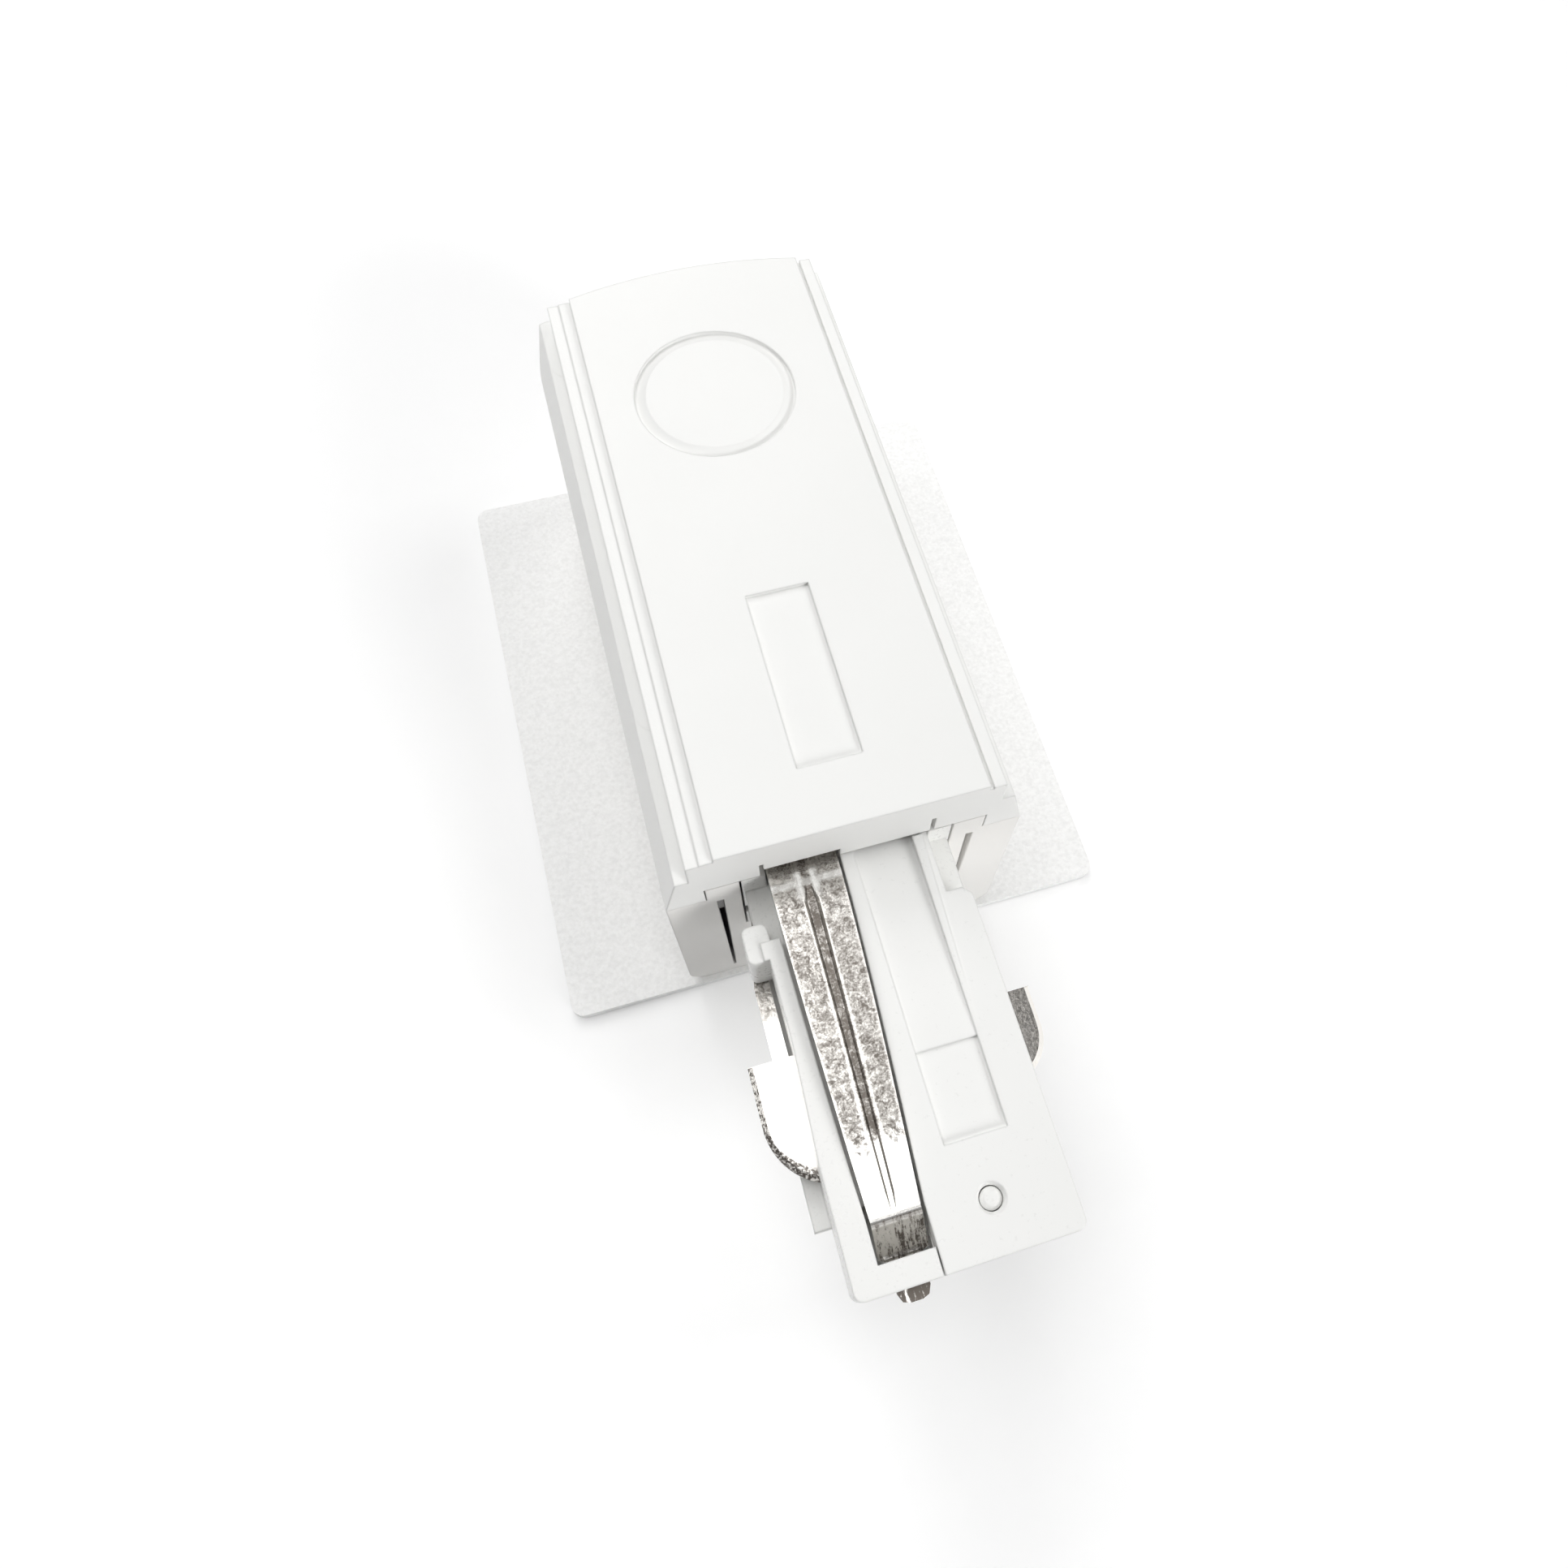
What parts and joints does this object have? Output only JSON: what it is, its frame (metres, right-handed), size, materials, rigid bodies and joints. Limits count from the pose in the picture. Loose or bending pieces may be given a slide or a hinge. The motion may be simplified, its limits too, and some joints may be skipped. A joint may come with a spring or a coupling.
{
  "type": "track end feed",
  "caption": "Live-end feed for a recessed lighting track: flanged white housing with cover, and a plug-in tongue with side contacts and an earth strip.",
  "frame": {"origin": "middle of the track's cut end, where it butts against the feed, in the plane of the flange's room face", "axes": "+Y from the track towards the closed end of the feed, +Z from the room face up to the cover, +X across the track"},
  "size_m": [0.062, 0.1076, 0.037],
  "materials": {
    "flange_white": "fine-textured white powder coat",
    "housing_white": "moulded white, fine grain",
    "cover_white": "moulded white, fine grain",
    "carrier_white": "moulded white, smooth",
    "lid_white": "moulded white, smooth",
    "spring_metal": "plated spring sheet, mottled",
    "contact_metal": "bright nickel plating, tumbled",
    "brass": "turned",
    "screw_steel": "zinc plated",
    "lead_white": "wire insulation",
    "lead_green": "wire insulation",
    "block_grey": "moulded light grey"
  },
  "bodies": {
    "feed": {"flange_plate": "flange_white", "base_housing": "housing_white", "top_cover": "cover_white", "contact_carrier": "carrier_white", "carrier_lid": "lid_white", "earth_pivot_pin": "brass", "line_lead": "lead_white", "neutral_lead": "lead_white", "earth_lead": "lead_green", "terminal_block": "block_grey", "line_terminal": "brass", "neutral_terminal": "brass", "earth_terminal": "brass", "line_terminal_screw": "screw_steel", "neutral_terminal_screw": "screw_steel", "earth_terminal_screw": "screw_steel", "cable_clamp": "housing_white", "clamp_screws": "screw_steel", "carrier_screws": "screw_steel", "cover_screws": "screw_steel", "flange_screws": "screw_steel"},
    "line_contact": {"line_contact": "contact_metal"},
    "neutral_contact": {"neutral_contact": "contact_metal"},
    "earth_spring": {"earth_spring": "spring_metal"}
  },
  "joints": [
    {"name": "line_contact_flex", "type": "hinge", "parent": "feed", "child": "line_contact", "pos_m": [-0.0096, 0.009, 0.0214], "axis": [0, 0, 1], "range_deg": [0, 2.3], "stiffness_Nm_per_rad": 2.2},
    {"name": "neutral_contact_flex", "type": "hinge", "parent": "feed", "child": "neutral_contact", "pos_m": [0.0096, 0.009, 0.0214], "axis": [0, 0, -1], "range_deg": [0, 2.3], "stiffness_Nm_per_rad": 2.2},
    {"name": "earth_spring_flex", "type": "hinge", "parent": "feed", "child": "earth_spring", "pos_m": [-0.0035, 0.007, 0.0287], "axis": [1, 0, 0], "range_deg": [0, 1.6], "stiffness_Nm_per_rad": 4}
  ]
}
